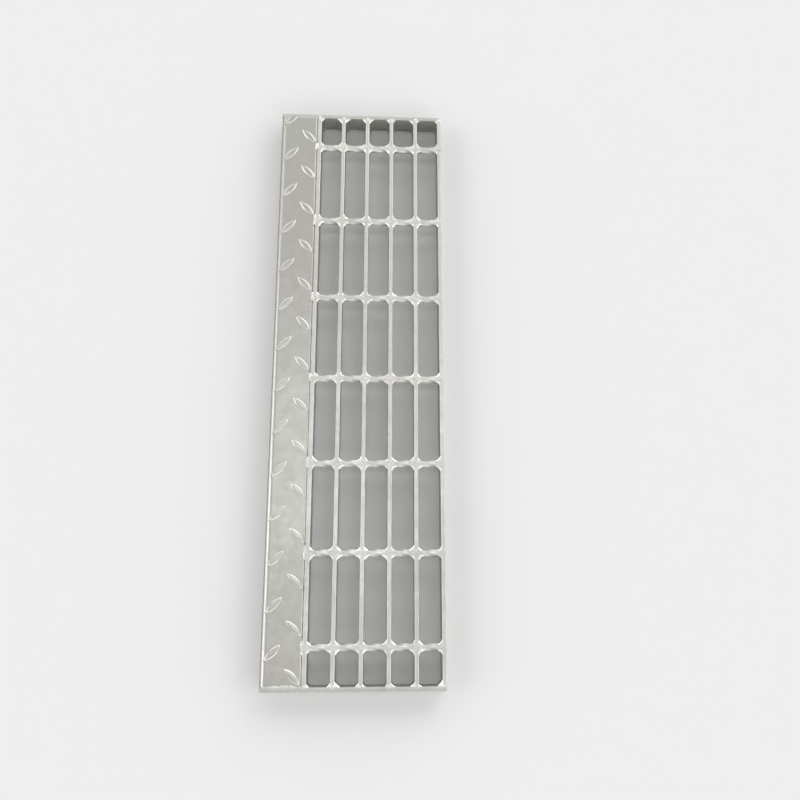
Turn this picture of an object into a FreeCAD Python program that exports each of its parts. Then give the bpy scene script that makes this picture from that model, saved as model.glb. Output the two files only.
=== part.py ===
import FreeCAD, Part
import math
import os

# A welded bar-grating stair tread with a chequer-plate nosing.
# X runs along the tread, -Y is the front with the nosing, +Z is up.
# The origin is under the middle of the tread, on the surface that it rests on.

# Driving dimensions, in millimetres and degrees
TREAD_LENGTH = 690.0
BAR_COUNT = 6
BAR_PITCH = 30.0
BAR_THICKNESS = 5.0
BAR_DEPTH = 25.0
END_PLATE_THICKNESS = 5.0

# Cross rods: square bar, twisted a quarter turn from one bearing bar to the next
ROD_PITCH = 100.0
ROD_SIDE = 6.0
ROD_END_MARGIN = 30.0
ROD_TURN = 90.0
ROD_TURN_STEPS = 5
FLARE_REACH = 4.0

# Nosing: a folded plate with a downturned front lip
NOSING_WIDTH = 44.5
NOSING_GAP = 0.5
NOSING_THICKNESS = 4.0
NOSING_INNER_RADIUS = 0.5
LIP_CLEARANCE = 2.0

# Lugs of the chequer pattern: a front column and a rear column that lean opposite ways
LUG_LENGTH = 24.0
LUG_WIDTH = 7.0
LUG_HEIGHT = 1.5
LUG_FLANK = 1.7
LUG_ROOT = 0.5
LUG_PITCH = 49.5
LUG_LEAN = 45.0
LUG_FRONT_INSET = 13.0
LUG_REAR_INSET = 10.0
LUG_FRONT_START = 7.9
LUG_REAR_START = -17.0

# Welds: the middle of a fillet's hollow face lies at this share of its leg from both walls
HOLLOW_SHARE = 0.37
END_WELD_LEG = 5.0
END_WELD_INSET = 1.0
STITCH_LENGTH = 18.0
STITCH_CAP_WIDTH = 5.0
STITCH_CROWN = 0.8
STITCH_ROOT = 3.0

# Worked out from the dimensions above
TOP = BAR_DEPTH
BAR_LENGTH = TREAD_LENGTH - 2 * END_PLATE_THICKNESS
BAR_HALF = BAR_THICKNESS / 2
GRATING_WIDTH = (BAR_COUNT - 1) * BAR_PITCH + BAR_THICKNESS
TREAD_WIDTH = NOSING_WIDTH + NOSING_GAP + GRATING_WIDTH
FRONT = -TREAD_WIDTH / 2
NOSING_REAR = FRONT + NOSING_WIDTH
NOSING_OUTER_RADIUS = NOSING_INNER_RADIUS + NOSING_THICKNESS
FIRST_BAR = NOSING_REAR + NOSING_GAP + BAR_HALF
BAR_PLACES = [FIRST_BAR + number * BAR_PITCH for number in range(BAR_COUNT)]

# The ridges of the twisted rods are level with the tops of the bars
ROD_HALF = ROD_SIDE / 2
ROD_RIDGE = ROD_SIDE / math.sqrt(2)
ROD_AXIS = TOP - ROD_RIDGE
NOTCH_DEPTH = ROD_RIDGE + ROD_HALF
NOTCH_FLOOR = TOP - NOTCH_DEPTH
ROD_COUNT = int((BAR_LENGTH - 2 * ROD_END_MARGIN) // ROD_PITCH) + 1
FIRST_ROD = -(ROD_COUNT - 1) * ROD_PITCH / 2
ROD_PLACES = [FIRST_ROD + number * ROD_PITCH for number in range(ROD_COUNT)]

# A lug's outline is a lens between two arcs, whose centres lie this far to either side of its long axis
LUG_RADIUS = (LUG_LENGTH ** 2 + LUG_WIDTH ** 2) / (4 * LUG_WIDTH)
LUG_CENTRE = LUG_RADIUS - LUG_WIDTH / 2

UP = FreeCAD.Vector(0, 0, 1)


def point(x, y, z):
    return FreeCAD.Vector(x, y, z)


def block(x_range, y_range, z_range):
    corner = point(x_range[0], y_range[0], z_range[0])
    length = x_range[1] - x_range[0]
    width = y_range[1] - y_range[0]
    height = z_range[1] - z_range[0]
    return Part.makeBox(length, width, height, corner)


def line(start, end):
    return Part.makeLine(start, end)


def arc(start, middle, end):
    return Part.Arc(start, middle, end).toShape()


def prism(edges, direction):
    return Part.Face(Part.Wire(edges)).extrude(direction)


def corner_fillet(corner, x_side, y_side, leg, height):
    # Upright weld metal with a hollow face, in the corner between two upright faces
    sag = leg * HOLLOW_SHARE
    along_x = corner + point(x_side * leg, 0, 0)
    along_y = corner + point(0, y_side * leg, 0)
    hollow = corner + point(x_side * sag, y_side * sag, 0)
    edges = [line(corner, along_x), arc(along_x, hollow, along_y), line(along_y, corner)]
    return prism(edges, UP * height)


def bearing_bar(y):
    # A flat bar, notched from above for each rod
    sides = (y - BAR_HALF, y + BAR_HALF)
    bar = block((-BAR_LENGTH / 2, BAR_LENGTH / 2), sides, (0, TOP))
    notches = []
    for x in ROD_PLACES:
        notches.append(block((x - ROD_HALF, x + ROD_HALF), sides, (NOTCH_FLOOR, TOP)))
    return bar.cut(notches)


def forge_welds(x):
    # Flares of metal squeezed out beside a rod, in the corners of the cells where it meets the bars
    faces = [(y + BAR_HALF, 1) for y in BAR_PLACES[:-1]]
    faces += [(y - BAR_HALF, -1) for y in BAR_PLACES[1:]]
    flares = []
    for face, y_side in faces:
        for x_side in (-1, 1):
            corner = point(x + x_side * ROD_HALF, face, NOTCH_FLOOR)
            flares.append(corner_fillet(corner, x_side, y_side, FLARE_REACH, NOTCH_DEPTH))
    return Part.makeCompound(flares)


def rod_ring(x, y, turn, swaged=False):
    # The four corners of the rod at a place along it; in a bar its upper side is swaged level with the top
    corners = []
    for quarter in range(4):
        angle = math.radians(45 + 90 * quarter + turn)
        height = ROD_AXIS + ROD_RIDGE * math.cos(angle)
        if swaged and height > ROD_AXIS:
            height = TOP
        corners.append(point(x + ROD_RIDGE * math.sin(angle), y, height))
    return corners


def rod_rings(x):
    rings = []
    span = BAR_PITCH - BAR_THICKNESS - 2 * FLARE_REACH
    for number, y in enumerate(BAR_PLACES):
        turn = number * ROD_TURN
        rings.append(rod_ring(x, y - BAR_HALF, turn, swaged=True))
        rings.append(rod_ring(x, y + BAR_HALF, turn, swaged=True))
        if number == BAR_COUNT - 1:
            break
        for step in range(ROD_TURN_STEPS + 1):
            share = step / ROD_TURN_STEPS
            place = y + BAR_HALF + FLARE_REACH + share * span
            rings.append(rod_ring(x, place, turn + share * ROD_TURN))
    return rings


def cross_rod(x):
    # A skin of flat facets over the rings, closed by a flat face at each end
    rings = rod_rings(x)
    outlines = [rings[0], rings[-1][::-1]]
    for ring, following in zip(rings, rings[1:]):
        for here in range(4):
            beside = (here + 1) % 4
            outlines.append([ring[here], following[here], following[beside]])
            outlines.append([ring[here], following[beside], ring[beside]])
    faces = [Part.Face(Part.makePolygon(outline + outline[:1])) for outline in outlines]
    return Part.Solid(Part.Shell(faces)).removeSplitter()


def end_plate(side):
    outer = side * TREAD_LENGTH / 2
    inner = side * BAR_LENGTH / 2
    return block((min(outer, inner), max(outer, inner)), (FRONT, -FRONT), (0, TOP))


def lens(height):
    # A lug's outline at a height over the plate, narrower the higher it lies
    inset = LUG_FLANK * height / LUG_HEIGHT
    half_width = LUG_WIDTH / 2 - inset
    half_length = math.sqrt((LUG_RADIUS - inset) ** 2 - LUG_CENTRE ** 2)
    left = point(-half_length, 0, height)
    right = point(half_length, 0, height)
    front = arc(left, point(0, -half_width, height), right)
    rear = arc(right, point(0, half_width, height), left)
    return Part.Wire([front, rear])


def lug():
    # One lug at the origin, long side along X, with a root below the plate's surface
    return Part.makeLoft([lens(-LUG_ROOT), lens(LUG_HEIGHT)], True, True)


def lug_column(y, start, lean):
    pattern = lug()
    reach = BAR_LENGTH / 2 + LUG_LENGTH / 2
    first = math.ceil((-reach - start) / LUG_PITCH)
    last = math.floor((reach - start) / LUG_PITCH)
    lugs = []
    for number in range(first, last + 1):
        place = point(start + number * LUG_PITCH, y, TOP)
        copy = pattern.copy()
        copy.Placement = FreeCAD.Placement(place, FreeCAD.Rotation(UP, lean))
        lugs.append(copy)
    return lugs


def nosing():
    bend_y = FRONT + NOSING_OUTER_RADIUS
    bend_z = TOP - NOSING_OUTER_RADIUS
    under = TOP - NOSING_THICKNESS
    lip_back = FRONT + NOSING_THICKNESS
    slant = math.sqrt(0.5)
    x = -BAR_LENGTH / 2

    def bend(radius, start, end):
        return arc(start, point(x, bend_y - radius * slant, bend_z + radius * slant), end)

    top_rear = point(x, NOSING_REAR, TOP)
    top_front = point(x, bend_y, TOP)
    face_top = point(x, FRONT, bend_z)
    face_bottom = point(x, FRONT, LIP_CLEARANCE)
    back_bottom = point(x, lip_back, LIP_CLEARANCE)
    back_top = point(x, lip_back, bend_z)
    under_front = point(x, bend_y, under)
    under_rear = point(x, NOSING_REAR, under)
    edges = [
        line(top_rear, top_front),
        bend(NOSING_OUTER_RADIUS, top_front, face_top),
        line(face_top, face_bottom),
        line(face_bottom, back_bottom),
        line(back_bottom, back_top),
        bend(NOSING_INNER_RADIUS, back_top, under_front),
        line(under_front, under_rear),
        line(under_rear, top_rear),
    ]
    plate = prism(edges, point(BAR_LENGTH, 0, 0))
    lugs = lug_column(FRONT + LUG_FRONT_INSET, LUG_FRONT_START, -LUG_LEAN)
    lugs += lug_column(NOSING_REAR - LUG_REAR_INSET, LUG_REAR_START, LUG_LEAN)
    above = (TOP - NOSING_THICKNESS, TOP + 2 * LUG_HEIGHT)
    footprint = block((-BAR_LENGTH / 2, BAR_LENGTH / 2), (FRONT, NOSING_REAR), above)
    return plate.fuse([piece.common(footprint) for piece in lugs]).removeSplitter()


def nosing_weld(x, x_side):
    # A fillet bead under the nosing, along the inside of an end plate
    sag = END_WELD_LEG * HOLLOW_SHARE
    y = FRONT + NOSING_OUTER_RADIUS
    under = TOP - NOSING_THICKNESS
    corner = point(x, y, under)
    along_nosing = point(x + x_side * END_WELD_LEG, y, under)
    along_plate = point(x, y, under - END_WELD_LEG)
    hollow = point(x + x_side * sag, y, under - sag)
    edges = [line(corner, along_nosing), arc(along_nosing, hollow, along_plate), line(along_plate, corner)]
    return prism(edges, point(0, NOSING_REAR - y, 0))


def end_welds(side):
    x = side * BAR_LENGTH / 2
    height = TOP - 2 * END_WELD_INSET
    beads = [nosing_weld(x, -side)]
    for y in BAR_PLACES[:-1]:
        corner = point(x, y + BAR_HALF, END_WELD_INSET)
        beads.append(corner_fillet(corner, -side, 1, END_WELD_LEG, height))
    for y in BAR_PLACES[1:]:
        corner = point(x, y - BAR_HALF, END_WELD_INSET)
        beads.append(corner_fillet(corner, -side, -1, END_WELD_LEG, height))
    return Part.makeCompound(beads)


def stitch_weld(x, nosing_plate):
    # A bead that fills the gap behind the nosing and laps onto the plate and the first bar
    x_start = x - STITCH_LENGTH / 2
    middle = NOSING_REAR + NOSING_GAP / 2
    bar_face = NOSING_REAR + NOSING_GAP
    lap_front = point(x_start, middle - STITCH_CAP_WIDTH / 2, TOP)
    lap_rear = point(x_start, middle + STITCH_CAP_WIDTH / 2, TOP)
    edges = [
        arc(lap_front, point(x_start, middle, TOP + STITCH_CROWN), lap_rear),
        line(lap_rear, point(x_start, bar_face, TOP)),
        line(point(x_start, bar_face, TOP), point(x_start, bar_face, TOP - STITCH_ROOT)),
        line(point(x_start, bar_face, TOP - STITCH_ROOT), point(x_start, NOSING_REAR, TOP - STITCH_ROOT)),
        line(point(x_start, NOSING_REAR, TOP - STITCH_ROOT), point(x_start, NOSING_REAR, TOP)),
        line(point(x_start, NOSING_REAR, TOP), lap_front),
    ]
    return prism(edges, point(STITCH_LENGTH, 0, 0)).cut(nosing_plate)


def tread():
    nosing_plate = nosing()
    nodes = {"chequer_nosing": nosing_plate}
    for number, y in enumerate(BAR_PLACES, 1):
        nodes[f"bearing_bar_{number}"] = bearing_bar(y)
    for number, x in enumerate(ROD_PLACES, 1):
        nodes[f"cross_rod_{number}"] = cross_rod(x)
        nodes[f"forge_welds_{number}"] = forge_welds(x)
    for name, side in (("left", -1), ("right", 1)):
        nodes[f"end_plate_{name}"] = end_plate(side)
        nodes[f"end_welds_{name}"] = end_welds(side)
    stitches = []
    for x in ROD_PLACES:
        stitches += stitch_weld(x, nosing_plate).Solids
    nodes["nosing_stitch_welds"] = Part.makeCompound(stitches)
    return nodes


os.makedirs("parts", exist_ok=True)
for node, shape in tread().items():
    shape.exportStep(f"parts/{node}.step")
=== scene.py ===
import math
import random

import bmesh
import bpy
import numpy as np
from mathutils import Matrix, Vector, noise


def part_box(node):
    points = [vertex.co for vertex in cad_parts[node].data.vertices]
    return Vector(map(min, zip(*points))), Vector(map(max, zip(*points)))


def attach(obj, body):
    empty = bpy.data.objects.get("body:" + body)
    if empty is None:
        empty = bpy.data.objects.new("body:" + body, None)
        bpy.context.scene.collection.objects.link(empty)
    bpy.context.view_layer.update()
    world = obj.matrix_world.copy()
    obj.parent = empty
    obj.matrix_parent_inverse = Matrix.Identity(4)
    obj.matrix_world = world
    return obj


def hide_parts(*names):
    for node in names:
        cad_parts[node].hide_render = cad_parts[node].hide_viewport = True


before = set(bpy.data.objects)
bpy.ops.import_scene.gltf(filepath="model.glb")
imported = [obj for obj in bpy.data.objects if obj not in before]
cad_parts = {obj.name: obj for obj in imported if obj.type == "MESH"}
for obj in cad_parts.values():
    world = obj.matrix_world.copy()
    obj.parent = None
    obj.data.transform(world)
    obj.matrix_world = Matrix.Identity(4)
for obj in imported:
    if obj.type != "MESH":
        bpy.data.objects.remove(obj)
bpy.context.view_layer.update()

# A galvanised bar-grating stair tread with a folded chequer-plate nosing.
# Lengths are in millimetres, in the frame of the solids, and become metres when a mesh is made.
# Angles are in degrees, and the frequencies of uneven surfaces are per millimetre.
MM = 0.001
SEED = 7

# Zinc coat: rounded edges, and a surface that sinks a little in patches
EDGE_RADIUS = 1.2
END_PLATE_RADIUS = 0.8
END_DRAW = 0.6
EDGE_STEPS = 4
SIDE_ROWS = 4
STATION = 2.5
COAT_DEPTH = 0.22
COAT_PATCH = 14.0
COAT_MEAN = 0.5
COAT_COARSE = 0.5
COAT_FINE = 0.2
COAT_FINENESS = 3

# Cross rods, twisted between the bars and pressed level with their tops
ROD_SIDE = 6.0
ROD_FACE = 3.4
ROD_RIDGE = 4.24
ROD_SHARPNESS = 1.5
ROD_POINTS = 48
ROD_STATION = 0.75
ROD_TURN = 90.0
ROD_END_SHRINK = 0.88
EVEN_TWIST = 0.6
RIDGE_DIP = 0.35
SEAT_PROUD = 0.2
SEAT_SPREAD = 0.1
SEAT_FADE = 6.0
SEAT_LUMPS = 0.8
LUMP_PITCH = 2.2

# Forge welds in the corners of the cells
FLARE_REACH = 4.9
FLARE_SIZES = (0.72, 1.22)
FLARE_SETTLE = 0.15
FLARE_HOLLOW = 0.42
FLARE_FOOT = 0.35
FLARE_LEAN = 0.8
FLARE_DROP = 1.2
FLARE_ROUND = 1.3
FLARE_BEVEL = 1.6
FLARE_DIP = 0.4
FLARE_LUMPS = 0.7
CAP_SHARE = 0.05
ARC_STEPS = 8
WALL_STEPS = 5
BEVEL_STEPS = 4
SINK = 1.8

# Nosing and its lugs, whose profile gives the inset and the height of each ring
NOSING_THICKNESS = 4.0
BEND_RADIUS = 6.5
BEND_STEPS = 10
INNER_RADIUS = 0.5
PLATE_EDGE = 0.7
REAR_EDGE = 2.2
FLAT_STRIP = 0.3
CUT_MARGIN = 1.0
LUG_LENGTH = 25.0
LUG_WIDTH = 8.0
LUG_PITCH = 49.5
LUG_LEAN = 45.0
LUG_FRONT_INSET = 13.0
LUG_REAR_INSET = 10.0
LUG_FRONT_START = 7.9
LUG_REAR_START = -17.0
LUG_POINTS = 48
# Heights over the plate across which the tops of the lugs get a painted highlight
LUG_HIGHLIGHT_HEIGHTS = (0.7, 1.3)
LUG_PROFILE = (
    (-0.7, -1.0), (-0.4, 0.0), (-0.1, 0.1), (0.2, 0.42), (0.5, 0.7),
    (0.9, 1.02), (1.35, 1.27), (1.8, 1.41), (2.3, 1.47), (3.3, 1.5),
)

# Beads of weld
BEAD_STATION = 0.5
BEAD_POINTS = 11
BEAD_LAP = 0.2
BEAD_BLUNTNESS = 4
BEAD_TIP = 0.03
RIPPLE_PITCH = 2.3
RIPPLE_HEIGHT = 0.12
PIT_FREQUENCY = 0.25
PIT_NOISE_LAYER = 0.5
DIMPLE_FREQUENCY = 0.7
DIMPLE_ACROSS = 1.5

# Welds at the ends: corners of the bars, ends of the bars, and the seam of the nosing at each side
END_WELD_LEG = 5.0
END_WELD_SIZES = (0.55, 1.3)
END_WELD_SETTLE = 0.4
END_WELD_INSET = 1.0
END_WELD_FOOT = 0.8
END_WELD_RIPPLE = 0.05
BAR_BEAD_SIZES = (0.6, 1.0)
BAR_BEAD_CROWN = 0.38
SEAM_WIDTH = 5.5
SEAM_CROWN = {-1: 0.12, 1: 0.38}
SEAM_ROOT = 1.0
SEAM_PITS = 0.5
SEAM_START = 3.0
UNDER_BEAD_SIZE = 0.9
UNDER_BEAD_RIPPLE = 0.07
UNDER_BEAD_HOLLOW = 0.45
FILL_DEPTH = 0.5
FILL_UNEVENNESS = 0.5
FILL_FREQUENCY = 0.2

# Stitch welds behind the nosing, and zinc in the groove between them
STITCH_LENGTH = 14.0
STITCH_SIZES = (0.65, 1.15)
STITCH_WIDTH = 4.6
STITCH_CROWN = 0.58
STITCH_ROOT = 3.0
STITCH_PITS = 0.6
GROOVE_DEPTH = 2.0
GROOVE_UNEVENNESS = 0.3
GROOVE_FREQUENCY = 0.08
GROOVE_NOISE_ROW = 2.0
GROOVE_SAG = 0.2
GROOVE_BODY = 1.5

# Angles above which an edge is shaded sharp
SHARP = 40.0
SHARP_ROUND = 60.0
SHARP_FLARE = 24.0
SHARP_NOSING = 14.0

# Patterns in the zinc, as scale and detail, and what each adds to the tone
CLOUD = (9.0, 2.0)
GRAIN = (420.0, 4.0)
RUNS = (130.0, 3.0)
DRIFT = (6.0, 1.0)
RUN_STRETCH = (1.0, 1.0, 0.15)
SPANGLE_SCALE = 110.0
CLOUD_SHARE = 0.4
SPANGLE_SHARE = 0.16
GRAIN_SHARE = 0.2
RUN_SHARE = 0.24
TONE_RANGE = (0.3, 0.68)
POLISH_RANGE = (0.3, 0.7)
DRIFT_RANGE = (0.35, 0.65)
SPANGLE_BUMP = 0.3
BUMP_DEPTH = 0.4

# Faint tints of the zinc, and its dimmer shine at a low angle
ROSE = (1.0, 0.98, 0.97, 1.0)
GREEN = (0.985, 1.0, 0.975, 1.0)
GRAZING = (0.55, 0.55, 0.55, 1.0)

# Kinds of zinc, with the roughness of their dark and light patches
ZINCS = {
    "bar_zinc": {
        "dark": (0.42, 0.42, 0.4),
        "light": (0.545, 0.545, 0.525),
        "roughness": (0.46, 0.32),
        "relief": 0.2,
        "metallic": 0.75,
    },
    "rod_zinc": {
        "dark": (0.42, 0.42, 0.4),
        "light": (0.545, 0.545, 0.525),
        "roughness": (0.62, 0.5),
        "relief": 0.2,
        "metallic": 0.75,
    },
    "plate_zinc": {
        "dark": (0.38, 0.38, 0.36),
        "light": (0.48, 0.48, 0.46),
        "roughness": (0.48, 0.34),
        "relief": 0.2,
        "metallic": 0.6,
    },
    "nosing_zinc": {
        "dark": (0.341, 0.337, 0.319),
        "light": (0.408, 0.403, 0.384),
        "roughness": (0.4, 0.3),
        "relief": 0.08,
        "metallic": 0.85,
        # Painted highlight on the tops of the lugs
        "crest_highlight": 0.22,
    },
    "weld_zinc": {
        "dark": (0.48, 0.48, 0.46),
        "light": (0.62, 0.62, 0.6),
        "roughness": (0.4, 0.28),
        "relief": 0.25,
        "metallic": 0.85,
    },
}

# View of the photograph, from a camera fitted to the grating's grid
CAMERA_PLACE = (248.0, 20.5, 919.0)
CAMERA_AZIMUTH = 11.71
CAMERA_ELEVATION = 75.76
CAMERA_ROLL = 11.9
CAMERA_LENS = 35.8
CAMERA_SENSOR = 36.0
CAMERA_SHIFT = -0.019

# Floor, backdrop and light: a faint sun above and a ring of low ones with soft edges
WHITE = (1.0, 1.0, 1.0, 1.0)
FLOOR_TONE = 0.877
FLOOR_ROUGHNESS = 0.9
FLOOR_REACH = 60000.0
AMBIENT = 0.08
BACKDROP = 0.87
TOP_SUN = {"azimuth": 180.0, "elevation": 82.0, "strength": 0.2, "spread": 20.0}
RING_ELEVATION = 22.0
RING_SPREAD = 50.0
RING_START = 30.0
RING = {
    "near_rear": 1.15,
    "rear": 1.2,
    "far_rear": 1.6,
    "far_front": 1.0,
    "front": 1.4,
    "near_front": 0.7,
}

dice = random.Random(SEED)


# Shapes

def box(node):
    low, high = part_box(node)
    return np.array(low) / MM, np.array(high) / MM


TOP = box("bearing_bar_1")[1][2]


def smooth(share):
    share = min(max(share, 0.0), 1.0)
    return share * share * (3 - 2 * share)


def coat(place):
    # How far the zinc lies under the highest surface, from 0 to COAT_DEPTH
    coarse = noise.noise(Vector(place) / COAT_PATCH)
    fine = noise.noise(Vector(place) * COAT_FINENESS / COAT_PATCH)
    return COAT_DEPTH * min(max(COAT_MEAN + COAT_COARSE * coarse + COAT_FINE * fine, 0.0), 1.0)


def rounded_rectangle(width, height, radius, rows):
    # Points round a rectangle with their outward directions, with extra rows on the two upright sides
    across = width / 2 - radius
    up = height / 2 - radius
    points = []
    for turn, (side, level) in enumerate(((1, 1), (-1, 1), (-1, -1), (1, -1))):
        for step in range(EDGE_STEPS + 1):
            angle = math.radians(90 * (turn + step / EDGE_STEPS))
            out = (math.cos(angle), math.sin(angle))
            points.append(((side * across + radius * out[0], level * up + radius * out[1]), out))
        if turn % 2:
            for row in range(1, rows + 1):
                height_here = level * up * (1 - 2 * row / (rows + 1))
                points.append(((side * width / 2, height_here), (side, 0)))
    return points


class Shell:
    # The vertices and faces of a mesh while it grows

    def __init__(self):
        self.points = []
        self.faces = []

    def skin(self, rings):
        count = len(rings[0])
        base = len(self.points)
        for ring in rings:
            self.points.extend(ring)
        for level in range(len(rings) - 1):
            start = base + level * count
            above = start + count
            for here in range(count):
                beside = (here + 1) % count
                self.faces.append((start + here, start + beside, above + beside, above + here))
        last = base + (len(rings) - 1) * count
        self.faces.append(tuple(range(base, base + count))[::-1])
        self.faces.append(tuple(range(last, last + count)))

    def mesh(self, name):
        made = bpy.data.meshes.new(name)
        places = [tuple(float(value) * MM for value in point) for point in self.points]
        made.from_pydata(places, [], self.faces)
        form = bmesh.new()
        form.from_mesh(made)
        bmesh.ops.recalc_face_normals(form, faces=form.faces)
        form.to_mesh(made)
        form.free()
        return made


def add_piece(name, mesh, nodes, slot, sharp=SHARP):
    mesh.shade_smooth()
    mesh.set_sharp_from_angle(angle=math.radians(sharp))
    mesh.materials.clear()
    mesh.materials.append(materials[slot])
    piece = bpy.data.objects.new(name, mesh)
    bpy.context.scene.collection.objects.link(piece)
    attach(piece, "root")
    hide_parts(*nodes)
    return piece


# Materials

def add_node(tree, kind, inputs=None, **settings):
    made = tree.nodes.new(kind)
    for key, value in settings.items():
        setattr(made, key, value)
    for key, value in (inputs or {}).items():
        if isinstance(value, bpy.types.NodeSocket):
            tree.links.new(value, made.inputs[key])
        else:
            made.inputs[key].default_value = value
    return made


def add_math(tree, operation, first, second, third=0.0):
    values = {0: first, 1: second, 2: third}
    return add_node(tree, "ShaderNodeMath", values, operation=operation).outputs[0]


def add_mix(tree, factor, first, second, blend="MIX"):
    # The sockets of a colour mix go by number, because several of them share a name
    values = {0: factor, 6: first, 7: second}
    return add_node(tree, "ShaderNodeMix", values, data_type="RGBA", blend_type=blend).outputs[2]


def add_noise(tree, place, scale, detail):
    values = {"Vector": place, "Scale": scale, "Detail": detail}
    return add_node(tree, "ShaderNodeTexNoise", values).outputs["Fac"]


def add_range(tree, value, before, after=(0.0, 1.0)):
    values = {
        "Value": value,
        "From Min": before[0],
        "From Max": before[1],
        "To Min": after[0],
        "To Max": after[1],
    }
    return add_node(tree, "ShaderNodeMapRange", values).outputs["Result"]


def zinc(name, dark, light, roughness, relief, metallic, crest_highlight=0.0):
    # Zinc with spangle, grain and runs; its crest value is a painted highlight that makes the tops of the
    # lugs paler
    material = bpy.data.materials.new(name)
    material.use_nodes = True
    tree = material.node_tree
    tree.nodes.clear()
    place = add_node(tree, "ShaderNodeTexCoord").outputs["Object"]
    cloud = add_noise(tree, place, *CLOUD)
    cells = add_node(tree, "ShaderNodeTexVoronoi", {"Vector": place, "Scale": SPANGLE_SCALE}).outputs["Color"]
    spangle = add_node(tree, "ShaderNodeSeparateColor", {"Color": cells}).outputs["Red"]
    grain = add_noise(tree, place, *GRAIN)
    drawn = add_node(tree, "ShaderNodeMapping", {"Vector": place, "Scale": RUN_STRETCH}).outputs["Vector"]
    runs = add_noise(tree, drawn, *RUNS)
    tone = add_math(tree, "MULTIPLY", cloud, CLOUD_SHARE)
    tone = add_math(tree, "MULTIPLY_ADD", spangle, SPANGLE_SHARE, tone)
    tone = add_math(tree, "MULTIPLY_ADD", grain, GRAIN_SHARE, tone)
    tone = add_math(tree, "MULTIPLY_ADD", runs, RUN_SHARE, tone)
    height = add_node(tree, "ShaderNodeSeparateXYZ", {"Vector": place}).outputs["Z"]
    # Painted highlight: the tone is raised on the tops of the lugs, by height
    painted_highlight_mask = add_range(tree, height, [(TOP + level) * MM for level in LUG_HIGHLIGHT_HEIGHTS])
    tone = add_math(tree, "MULTIPLY_ADD", painted_highlight_mask, crest_highlight, tone)
    ramp = add_node(tree, "ShaderNodeValToRGB", {"Fac": tone})
    for element, position, shade in zip(ramp.color_ramp.elements, TONE_RANGE, (dark, light)):
        element.position = position
        element.color = (*shade, 1.0)
    polish = add_range(tree, tone, POLISH_RANGE, roughness)
    drift = add_range(tree, add_noise(tree, place, *DRIFT), DRIFT_RANGE)
    tint = add_mix(tree, drift, ROSE, GREEN)
    colour = add_mix(tree, 1.0, ramp.outputs["Color"], tint, "MULTIPLY")
    bumps = add_math(tree, "MULTIPLY_ADD", spangle, SPANGLE_BUMP, grain)
    values = {"Height": bumps, "Strength": relief, "Distance": BUMP_DEPTH * MM}
    bump = add_node(tree, "ShaderNodeBump", values)
    shader = add_node(
        tree,
        "ShaderNodeBsdfPrincipled",
        {
            "Base Color": colour,
            "Metallic": metallic,
            "Roughness": polish,
            "Specular Tint": GRAZING,
            "Normal": bump.outputs["Normal"],
        },
    )
    output = add_node(tree, "ShaderNodeOutputMaterial")
    tree.links.new(shader.outputs["BSDF"], output.inputs["Surface"])
    return material


materials = {name: zinc(name, **look) for name, look in ZINCS.items()}


# Bearing bars and end plates

def flat_bar(node, slot, along, radius):
    # A rolled flat with rounded edges, along X (0) or Y (1), coated with zinc
    low, high = box(node)
    middle = (low + high) / 2
    across = 1 - along
    section = rounded_rectangle(high[across] - low[across], high[2] - low[2], radius, SIDE_ROWS)
    count = round((high[along] - low[along]) / STATION)
    stations = [low[along] + (high[along] - low[along]) * step / count for step in range(count + 1)]
    stations.insert(1, low[along] + radius)
    stations.insert(-1, high[along] - radius)
    rings = []
    for station in stations:
        ring = []
        end = radius if station in (stations[0], stations[-1]) else 0.0
        for (side, up), (out_side, out_up) in section:
            place = np.zeros(3)
            place[along] = station
            place[across] = middle[across] + side
            place[2] = middle[2] + up
            sink = coat(place) + END_DRAW * end
            place[across] -= out_side * sink
            place[2] -= out_up * sink
            ring.append(place)
        rings.append(ring)
    shell = Shell()
    shell.skin(rings)
    return add_piece(f"zinc_{node}", shell.mesh(node), [node], slot)


bar_nodes = sorted(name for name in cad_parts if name.startswith("bearing_bar"))
rod_nodes = sorted(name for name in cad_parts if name.startswith("cross_rod"))
for node in bar_nodes:
    flat_bar(node, "bar_zinc", 0, EDGE_RADIUS)
for node in ("end_plate_left", "end_plate_right"):
    flat_bar(node, "plate_zinc", 1, END_PLATE_RADIUS)

BARS = [box(node) for node in bar_nodes]
BAR_HALF = (BARS[0][1][1] - BARS[0][0][1]) / 2
BAR_PLACES = [(low[1] + high[1]) / 2 for low, high in BARS]
BAR_END = BARS[0][1][0]
ROD_PLACES = [(box(node)[0][0] + box(node)[1][0]) / 2 for node in rod_nodes]
ROD_AXIS = TOP - ROD_SIDE / math.sqrt(2)
NOTCH_FLOOR = ROD_AXIS - ROD_SIDE / 2


# Twisted rods and the metal squeezed out beside them

def rod_turn(y):
    # A quarter turn from each bar to the next
    turn = 0.0
    for place, following in zip(BAR_PLACES, BAR_PLACES[1:]):
        share = (y - place - BAR_HALF) / (following - place - 2 * BAR_HALF)
        share = min(max(share, 0.0), 1.0)
        turn += ROD_TURN * (EVEN_TWIST * share + (1 - EVEN_TWIST) * smooth(share))
    return math.radians(turn)


def rod_seat(y):
    # 1 in a bar, where the rod is pressed level with its top, and 0 in the open
    nearest = min(abs(y - place) for place in BAR_PLACES)
    return 1 - smooth((nearest - BAR_HALF) / SEAT_FADE)


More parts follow.
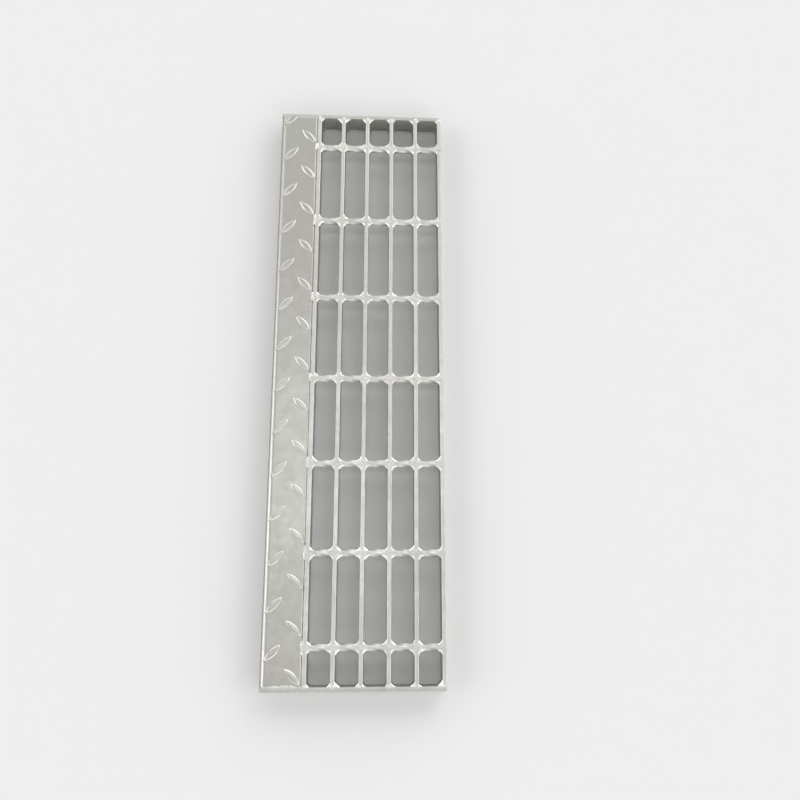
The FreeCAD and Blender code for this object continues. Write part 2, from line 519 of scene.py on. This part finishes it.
def rod_ring(x, y, shrink=1.0):
    # The section of the rod, stretched up to about the tops of the bars, and lumpy where it is seated
    turn = rod_turn(y)
    seat = rod_seat(y)
    points = []
    for step in range(ROD_POINTS):
        angle = 2 * math.pi * step / ROD_POINTS
        sharpness = (0.5 - 0.5 * math.cos(4 * (angle - turn))) ** ROD_SHARPNESS
        radius = ROD_FACE + (ROD_RIDGE - ROD_FACE) * sharpness
        points.append((radius * math.sin(angle) * (1 + SEAT_SPREAD * seat), radius * math.cos(angle)))
    ridge = max(height for _, height in points)
    level = TOP - ROD_AXIS + SEAT_PROUD * seat - RIDGE_DIP * (1 - seat)
    stretch = max(level / ridge, 1.0)
    ring = []
    for across, height in points:
        lifted = height
        if height > 0:
            lump = noise.noise(Vector((x + across, y, 0.0)) / LUMP_PITCH)
            lifted = height * (stretch + SEAT_LUMPS * seat * lump / ridge)
        ring.append((x + across * shrink, y, ROD_AXIS + lifted * shrink))
    return ring


def cross_rod(node, x):
    low, high = box(node)
    count = round((high[1] - low[1]) / ROD_STATION)
    stations = [low[1] + (high[1] - low[1]) * step / count for step in range(count + 1)]
    rings = [rod_ring(x, stations[0], ROD_END_SHRINK)]
    rings += [rod_ring(x, y) for y in stations[1:-1]]
    rings.append(rod_ring(x, stations[-1], ROD_END_SHRINK))
    shell = Shell()
    shell.skin(rings)
    return add_piece(f"zinc_{node}", shell.mesh(node), [node], "rod_zinc", SHARP_ROUND)


def cell_sides(place):
    # The sides of the bar at this place that face a cell
    return [side for side in (-1, 1) if BAR_PLACES[0] < place + side < BAR_PLACES[-1]]


def corner_metal(shell, corner, sides, reach, heights, foot, ripple=0.0):
    # Weld metal in an upright corner: a hollow, lumpy face that leans out towards a bevelled top
    def place(a, b, z):
        return (corner[0] + sides[0] * a, corner[1] + sides[1] * b, z)

    bottom, top = heights
    levels = []
    for step in range(WALL_STEPS + 1):
        share = step / WALL_STEPS
        z = bottom + (top - FLARE_DROP - bottom) * share
        wave = 1 + ripple * math.sin(2 * math.pi * z / RIPPLE_PITCH)
        levels.append((z, reach * (foot + (1 - foot) * share ** FLARE_LEAN) * wave, 0.0))
    for step in range(1, BEVEL_STEPS + 1):
        share = step / BEVEL_STEPS
        levels.append((top - FLARE_DROP * (1 - share) ** FLARE_ROUND, reach, FLARE_BEVEL * share))
    rings = []
    for z, leg, inset in levels:
        outline = [(-SINK, -SINK), (leg, -SINK)]
        for step in range(ARC_STEPS + 1):
            share = step / ARC_STEPS
            angle = math.radians(90 * share)
            outward = np.array((math.sin(angle), math.cos(angle)))
            arc = leg * (1 - outward)
            chord = leg * np.array((1 - share, share))
            back = inset + FLARE_LUMPS * noise.noise(Vector(place(*chord, z)) / LUMP_PITCH)
            outline.append(FLARE_HOLLOW * arc + (1 - FLARE_HOLLOW) * chord - back * outward)
        outline.append((-SINK, leg))
        rings.append([place(a, b, z - FLARE_DIP * max(-a, -b, 0.0) / SINK) for a, b in outline])
    cap = [(CAP_SHARE * (a + SINK) - SINK, CAP_SHARE * (b + SINK) - SINK) for a, b in outline]
    rings.append([place(a, b, top - FLARE_DIP) for a, b in cap])
    shell.skin(rings)


def forge_welds(node, x):
    shell = Shell()
    for place in BAR_PLACES:
        for y_side in cell_sides(place):
            for x_side in (-1, 1):
                corner = (x + x_side * ROD_SIDE / 2, place + y_side * BAR_HALF)
                reach = FLARE_REACH * dice.uniform(*FLARE_SIZES)
                heights = (NOTCH_FLOOR, TOP - dice.uniform(0.0, FLARE_SETTLE))
                corner_metal(shell, corner, (x_side, y_side), reach, heights, FLARE_FOOT)
    return add_piece(f"zinc_{node}", shell.mesh(node), [node], "weld_zinc", SHARP_FLARE)


for number, (node, x) in enumerate(zip(rod_nodes, ROD_PLACES), 1):
    cross_rod(node, x)
    forge_welds(f"forge_welds_{number}", x)


# Nosing

NOSING = box("chequer_nosing")
FRONT = NOSING[0][1]
NOSING_REAR = NOSING[1][1]
LIP_FOOT = NOSING[0][2]
NOSING_UNDER = TOP - NOSING_THICKNESS


def rounded_outline(corners, steps):
    # A polygon with square corners, each rounded by its own radius, with a narrow strip beside each round
    points = []
    for number, (corner, radius) in enumerate(corners):
        corner = np.array(corner)
        before = np.array(corners[number - 1][0]) - corner
        after = np.array(corners[(number + 1) % len(corners)][0]) - corner
        before = before / np.linalg.norm(before)
        after = after / np.linalg.norm(after)
        points.append(corner + before * (radius + FLAT_STRIP))
        for step in range(steps + 1):
            angle = math.radians(90 * step / steps)
            back = radius * (1 - math.sin(angle))
            ahead = radius * (1 - math.cos(angle))
            points.append(corner + before * back + after * ahead)
        points.append(corner + after * (radius + FLAT_STRIP))
    return points


def lug_ring(inset, height):
    # The lens-shaped outline of a lug, drawn in by an inset
    radius = (LUG_LENGTH ** 2 + LUG_WIDTH ** 2) / (4 * LUG_WIDTH)
    centre = radius - LUG_WIDTH / 2
    half = math.sqrt((radius - inset) ** 2 - centre ** 2)
    sweep = math.asin(half / (radius - inset))
    ring = []
    for side in (1, -1):
        for step in range(LUG_POINTS // 2):
            angle = sweep * (1 - 4 * step / LUG_POINTS)
            along = (radius - inset) * math.sin(angle)
            away = (radius - inset) * math.cos(angle) - centre
            ring.append((side * along, side * away, height))
    return ring


def lug_columns():
    # Two columns of lugs that lean opposite ways, from one end of the nosing to the other
    shell = Shell()
    columns = (
        (FRONT + LUG_FRONT_INSET, LUG_FRONT_START, -LUG_LEAN),
        (NOSING_REAR - LUG_REAR_INSET, LUG_REAR_START, LUG_LEAN),
    )
    reach = BAR_END + LUG_LENGTH / 2
    for y, start, lean in columns:
        turn = Matrix.Rotation(math.radians(lean), 3, "Z")
        first = math.ceil((-reach - start) / LUG_PITCH)
        last = math.floor((reach - start) / LUG_PITCH)
        for number in range(first, last + 1):
            place = Vector((start + number * LUG_PITCH, y, TOP))
            rings = []
            for inset, height in LUG_PROFILE:
                rings.append([turn @ Vector(point) + place for point in lug_ring(inset, height)])
            shell.skin(rings)
    return shell.mesh("lugs")


def combined(mesh, other, operation):
    first = bpy.data.objects.new("first", mesh)
    second = bpy.data.objects.new("second", other)
    for made in (first, second):
        bpy.context.scene.collection.objects.link(made)
    join = first.modifiers.new("join", "BOOLEAN")
    join.operation = operation
    join.solver = "EXACT"
    join.object = second
    result = bpy.data.meshes.new_from_object(first.evaluated_get(bpy.context.evaluated_depsgraph_get()))
    for made in (first, second):
        bpy.data.objects.remove(made)
    return result


def block(low, high):
    shell = Shell()
    flat = ((low[0], low[1]), (high[0], low[1]), (high[0], high[1]), (low[0], high[1]))
    shell.skin([[(x, y, z) for x, y in flat] for z in (low[2], high[2])])
    return shell.mesh("block")


def nosing():
    # A folded plate, joined with the lugs after these are cut off at its ends
    lip_back = FRONT + NOSING_THICKNESS
    outline = rounded_outline(
        [
            ((NOSING_REAR, TOP), REAR_EDGE),
            ((FRONT, TOP), BEND_RADIUS),
            ((FRONT, LIP_FOOT), PLATE_EDGE),
            ((lip_back, LIP_FOOT), PLATE_EDGE),
            ((lip_back, NOSING_UNDER), INNER_RADIUS),
            ((NOSING_REAR, NOSING_UNDER), PLATE_EDGE),
        ],
        BEND_STEPS,
    )
    shell = Shell()
    shell.skin([[(x, y, z) for y, z in outline] for x in (-BAR_END, BAR_END)])
    low = (-BAR_END, FRONT, NOSING_UNDER)
    high = (BAR_END, NOSING_REAR, NOSING[1][2] + CUT_MARGIN)
    lugs = combined(lug_columns(), block(low, high), "INTERSECT")
    plate = combined(shell.mesh("plate"), lugs, "UNION")
    return add_piece("zinc_chequer_nosing", plate, ["chequer_nosing"], "nosing_zinc", SHARP_NOSING)


nosing()


# Welds

def bead(shell, along, span, middle, width, crown, gap, root, pits):
    # A crowned bead along X (0) or Y (1), with ripples and pits, that thins out at both ends
    count = round((span[1] - span[0]) / BEAD_STATION)
    rings = []
    for step in range(count + 1):
        share = 2 * step / count - 1
        taper = math.sqrt(max(1 - share ** BEAD_BLUNTNESS, BEAD_TIP))
        place = span[0] + (span[1] - span[0]) * step / count
        wave = 1 + RIPPLE_HEIGHT * abs(math.sin(math.pi * place / RIPPLE_PITCH))
        wave *= 1 + pits * noise.noise(Vector((place * PIT_FREQUENCY, middle, PIT_NOISE_LAYER)))
        half = width / 2 * taper * wave
        ring = []
        for turn in range(BEAD_POINTS):
            out = 1 - 2 * turn / (BEAD_POINTS - 1)
            spot = Vector((place * DIMPLE_FREQUENCY, middle + DIMPLE_ACROSS * out, 0.0))
            dimple = 1 + pits * noise.noise(spot)
            lift = crown * taper * wave * dimple * math.cos(math.pi / 2 * out) ** 2
            ring.append((place, middle + half * out, TOP - BEAD_LAP + lift))
        ring.append((place, middle - gap / 2, TOP - root))
        ring.append((place, middle + gap / 2, TOP - root))
        rings.append([(across, place, z) if along else (place, across, z) for place, across, z in ring])
    shell.skin(rings)


def under_bead(shell, x, side):
    # A fillet under the nosing, along the inside of an end plate
    rings = []
    for y in np.arange(FRONT + BEND_RADIUS, NOSING_REAR, BEAD_STATION):
        ripple = UNDER_BEAD_RIPPLE * math.sin(2 * math.pi * y / RIPPLE_PITCH)
        leg = END_WELD_LEG * (UNDER_BEAD_SIZE + ripple)
        slope = UNDER_BEAD_HOLLOW * leg
        outline = ((SINK, SINK), (-leg, SINK), (-leg, 0.0), (-slope, -slope), (0.0, -leg), (SINK, -leg))
        rings.append([(x + side * across, y, NOSING_UNDER + up) for across, up in outline])
    shell.skin(rings)


def joint_fill(shell, x):
    # Zinc in the joint between an end plate and the nosing, up its lip and over its bend
    centre = (FRONT + BEND_RADIUS, TOP - BEND_RADIUS)
    path = [((FRONT, z), (-1.0, 0.0)) for z in np.arange(LIP_FOOT + PLATE_EDGE, centre[1], STATION)]
    for step in range(BEND_STEPS + 1):
        angle = math.radians(90 * step / BEND_STEPS)
        out = (-math.cos(angle), math.sin(angle))
        path.append(((centre[0] + BEND_RADIUS * out[0], centre[1] + BEND_RADIUS * out[1]), out))
    path += [((y, TOP), (0.0, 1.0)) for y in np.arange(centre[0] + STATION, NOSING_REAR, STATION)]
    rings = []
    for (y, z), out in path:
        depth = FILL_DEPTH * (1 + FILL_UNEVENNESS * noise.noise(Vector((x, y, z)) * FILL_FREQUENCY))
        ring = []
        for across, down in ((-SINK, depth), (SINK, depth), (SINK, depth + SINK), (-SINK, depth + SINK)):
            ring.append((x + across, y - out[0] * down, z - out[1] * down))
        rings.append(ring)
    shell.skin(rings)


def end_welds(node, side):
    shell = Shell()
    x = side * BAR_END
    seam = {"width": SEAM_WIDTH, "gap": SEAM_WIDTH / 2, "root": SEAM_ROOT, "pits": SEAM_PITS}
    for place in BAR_PLACES:
        for y_side in cell_sides(place):
            leg = END_WELD_LEG * dice.uniform(*END_WELD_SIZES)
            heights = (END_WELD_INSET, TOP - dice.uniform(0.0, END_WELD_SETTLE))
            corner = (x, place + y_side * BAR_HALF)
            corner_metal(shell, corner, (-side, y_side), leg, heights, END_WELD_FOOT, END_WELD_RIPPLE)
        half = BAR_HALF * dice.uniform(*BAR_BEAD_SIZES)
        bead(shell, 1, (place - half, place + half), x, crown=BAR_BEAD_CROWN, **seam)
    bead(shell, 1, (FRONT + SEAM_START, NOSING_REAR), x, crown=SEAM_CROWN[side], **seam)
    under_bead(shell, x, side)
    joint_fill(shell, x)
    return add_piece(f"zinc_{node}", shell.mesh(node), [node], "weld_zinc", SHARP_ROUND)


def groove_fill(shell, middle, width):
    # Zinc that has run into the joint behind the nosing
    rings = []
    for x in np.arange(-BAR_END, BAR_END, STATION):
        uneven = GROOVE_UNEVENNESS * noise.noise(Vector((x * GROOVE_FREQUENCY, GROOVE_NOISE_ROW, 0.0)))
        top = TOP - GROOVE_DEPTH * (1 + uneven)
        foot = top - GROOVE_BODY
        outline = ((-width, top), (0.0, top - GROOVE_SAG), (width, top), (width, foot), (-width, foot))
        rings.append([(x, middle + across, z) for across, z in outline])
    shell.skin(rings)


def stitch_welds(node):
    shell = Shell()
    bar_face = BAR_PLACES[0] - BAR_HALF
    middle = (NOSING_REAR + bar_face) / 2
    gap = bar_face - NOSING_REAR
    for x in ROD_PLACES:
        half = STITCH_LENGTH / 2 * dice.uniform(*STITCH_SIZES)
        span = (x - half, x + half)
        bead(shell, 0, span, middle, STITCH_WIDTH, STITCH_CROWN, gap, STITCH_ROOT, STITCH_PITS)
    groove_fill(shell, middle, gap / 2 + EDGE_RADIUS)
    return add_piece(f"zinc_{node}", shell.mesh(node), [node], "weld_zinc", SHARP_ROUND)


end_welds("end_welds_left", -1)
end_welds("end_welds_right", 1)
stitch_welds("nosing_stitch_welds")


# Stage

def add_floor():
    material = bpy.data.materials.new("floor")
    material.use_nodes = True
    shader = material.node_tree.nodes["Principled BSDF"]
    shader.inputs["Base Color"].default_value = (FLOOR_TONE, FLOOR_TONE, FLOOR_TONE, 1.0)
    shader.inputs["Roughness"].default_value = FLOOR_ROUGHNESS
    shader.inputs["Specular IOR Level"].default_value = 0.0
    mesh = bpy.data.meshes.new("floor")
    reach = FLOOR_REACH * MM
    corners = [(-reach, -reach, 0), (reach, -reach, 0), (reach, reach, 0), (-reach, reach, 0)]
    mesh.from_pydata(corners, [], [(0, 1, 2, 3)])
    mesh.materials.append(material)
    floor = bpy.data.objects.new("floor", mesh)
    bpy.context.scene.collection.objects.link(floor)


def add_world():
    # A faint light from all sides, behind a pale backdrop for the camera and for reflections
    world = bpy.data.worlds.new("studio")
    bpy.context.scene.world = world
    world.use_nodes = True
    tree = world.node_tree
    tree.nodes.clear()
    path = add_node(tree, "ShaderNodeLightPath")
    seen = add_math(tree, "MAXIMUM", path.outputs["Is Camera Ray"], path.outputs["Is Glossy Ray"])
    seen = add_math(tree, "MAXIMUM", seen, path.outputs["Is Transmission Ray"])
    light = add_node(tree, "ShaderNodeBackground", {"Color": WHITE, "Strength": AMBIENT})
    backdrop = add_node(tree, "ShaderNodeBackground", {"Color": WHITE, "Strength": BACKDROP})
    mix = add_node(tree, "ShaderNodeMixShader", {0: seen, 1: light.outputs[0], 2: backdrop.outputs[0]})
    output = add_node(tree, "ShaderNodeOutputWorld")
    tree.links.new(mix.outputs[0], output.inputs["Surface"])


def add_sun(name, azimuth, elevation, strength, spread):
    lamp = bpy.data.lights.new(name, "SUN")
    lamp.energy = strength
    lamp.angle = math.radians(spread)
    sun = bpy.data.objects.new(name, lamp)
    sun.rotation_euler = (math.radians(90 - elevation), 0.0, math.radians(azimuth + 90))
    bpy.context.scene.collection.objects.link(sun)


def add_camera():
    azimuth = math.radians(CAMERA_AZIMUTH)
    elevation = math.radians(CAMERA_ELEVATION)
    roll = math.radians(CAMERA_ROLL)
    level = math.cos(elevation)
    ahead = Vector((-level * math.cos(azimuth), level * math.sin(azimuth), -math.sin(elevation)))
    flat_right = ahead.cross(Vector((0, 0, 1))).normalized()
    flat_up = flat_right.cross(ahead)
    right = flat_right * math.cos(roll) + flat_up * math.sin(roll)
    up = flat_up * math.cos(roll) - flat_right * math.sin(roll)
    data = bpy.data.cameras.new("camera")
    data.lens = CAMERA_LENS
    data.sensor_width = CAMERA_SENSOR
    data.shift_x = CAMERA_SHIFT
    camera = bpy.data.objects.new("camera", data)
    turn = Matrix((right, up, -ahead)).transposed().to_4x4()
    camera.matrix_world = Matrix.Translation(Vector(CAMERA_PLACE) * MM) @ turn
    bpy.context.scene.collection.objects.link(camera)
    bpy.context.scene.camera = camera


add_floor()
add_world()
add_sun("top", **TOP_SUN)
for number, (name, strength) in enumerate(RING.items()):
    add_sun(name, RING_START + 360 * number / len(RING), RING_ELEVATION, strength, RING_SPREAD)
add_camera()
bpy.context.scene.view_settings.view_transform = "Standard"
